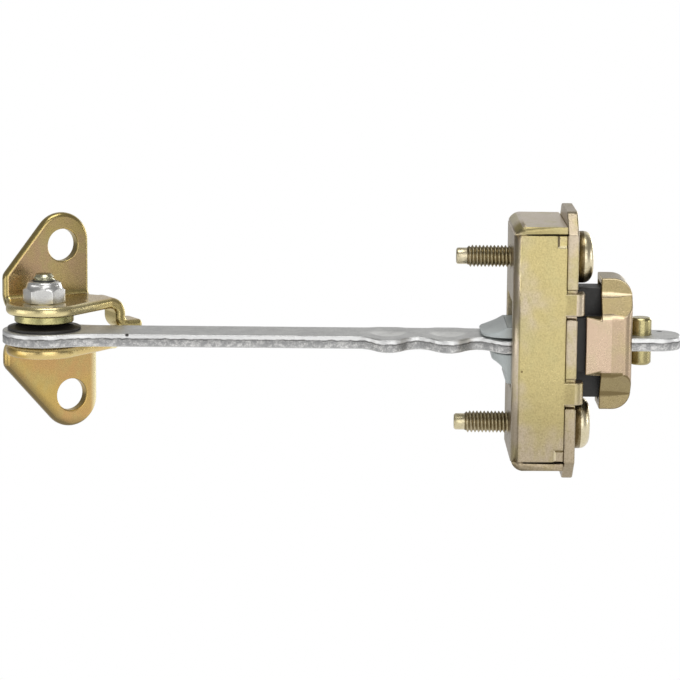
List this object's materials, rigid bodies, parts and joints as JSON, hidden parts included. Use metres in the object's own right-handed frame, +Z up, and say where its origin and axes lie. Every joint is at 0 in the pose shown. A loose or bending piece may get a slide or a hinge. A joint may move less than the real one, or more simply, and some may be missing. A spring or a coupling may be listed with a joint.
{
  "type": "door restrictor",
  "caption": "Vehicle door check: a stamped arm with detents slides through a sprung housing with door studs and turns in a folded pillar bracket, with a capped rubber end stop.",
  "frame": {"origin": "middle of the two door studs, on the housing's door face", "axes": "+X along the arm to its free end, +Y to the arm's back edge, +Z up along the bracket's pivot"},
  "size_m": [0.1867, 0.0386, 0.0732],
  "materials": {
    "bracket_zinc": "yellow passivated zinc, satin",
    "washer_zinc": "pale yellow zinc, satin",
    "arm_zinc": "bright zinc, edges burnished by use",
    "nut_zinc": "blue-white zinc, satin",
    "pivot_steel": "zinc plated, turned",
    "housing_zinc": "yellow passivated zinc with green and pink tints",
    "stud_zinc": "yellow passivated zinc, brassy",
    "cap_zinc": "yellow passivated zinc, drawn",
    "pin_zinc": "yellow passivated zinc, brassy",
    "shoe_plastic": "moulded, satin",
    "bush_plastic": "moulded, dark",
    "nylon": "moulded, pale",
    "buffer_rubber": "moulded, matt black",
    "spring_rubber": "moulded, matt black"
  },
  "bodies": {
    "housing": {"housing_box": "housing_zinc", "cover_plate": "housing_zinc", "upper_stud": "stud_zinc", "lower_stud": "stud_zinc", "upper_rubber_spring": "spring_rubber", "lower_rubber_spring": "spring_rubber"},
    "arm": {"check_arm": "arm_zinc", "pivot_bush": "bush_plastic", "stop_pin": "pin_zinc", "stop_cap": "cap_zinc", "buffer": "buffer_rubber"},
    "bracket": {"upper_bracket": "bracket_zinc", "lower_bracket": "bracket_zinc", "pivot_stud": "pivot_steel", "lock_nut": "nut_zinc", "nut_insert": "nylon", "upper_washer": "washer_zinc", "lower_thrust_washer": "washer_zinc"},
    "upper_shoe": {"upper_shoe": "shoe_plastic"},
    "lower_shoe": {"lower_shoe": "shoe_plastic"}
  },
  "joints": [
    {"name": "arm_slide", "type": "slide", "parent": "housing", "child": "arm", "axis": [1, 0, 0], "range_m": [0, 0.08]},
    {"name": "bracket_pivot", "type": "hinge", "parent": "arm", "child": "bracket", "pos_m": [-0.1273, 0, 0], "axis": [0, 0, 1], "range_deg": [-4, 65]},
    {"name": "upper_shoe_lift", "type": "slide", "parent": "housing", "child": "upper_shoe", "axis": [0, 0, 1], "range_m": [0, 0.0012], "stiffness_N_per_m": 1500, "deforming": ["upper_rubber_spring"]},
    {"name": "lower_shoe_lift", "type": "slide", "parent": "housing", "child": "lower_shoe", "axis": [0, 0, -1], "range_m": [0, 0.0012], "stiffness_N_per_m": 1500, "deforming": ["lower_rubber_spring"]}
  ]
}
